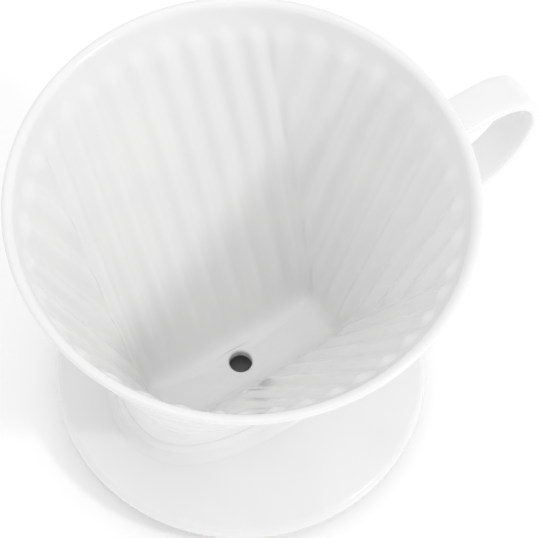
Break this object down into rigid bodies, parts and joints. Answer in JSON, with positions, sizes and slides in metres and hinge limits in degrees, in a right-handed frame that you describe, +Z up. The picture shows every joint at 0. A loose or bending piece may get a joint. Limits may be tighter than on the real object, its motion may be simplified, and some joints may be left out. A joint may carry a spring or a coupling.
{
  "type": "pour over dripper",
  "caption": "Wedge-shaped filter cone, ribbed inside, with a round rim and a drain hole in its slot-shaped floor, on an oval neck and a round saucer, with a strap handle at one end.",
  "frame": {"origin": "on the upright axis through the rim's centre and the drain hole, in the plane that the locating ring's foot stands on", "axes": "+X along the length of the slot-shaped floor, towards the handle; +Z up, out of the open rim; +Y to the left of someone looking along +X"},
  "size_m": [0.1548, 0.125, 0.105],
  "materials": {
    "porcelain_glaze": "gloss",
    "bisque_foot": "matte"
  },
  "bodies": {
    "root": {"filter_cone": "porcelain_glaze", "neck_collar": "porcelain_glaze", "saucer_flange": "porcelain_glaze", "handle_strap": "porcelain_glaze", "handle_upper_lute": "porcelain_glaze", "handle_lower_lute": "porcelain_glaze", "locating_ring": "bisque_foot"}
  },
  "joints": []
}
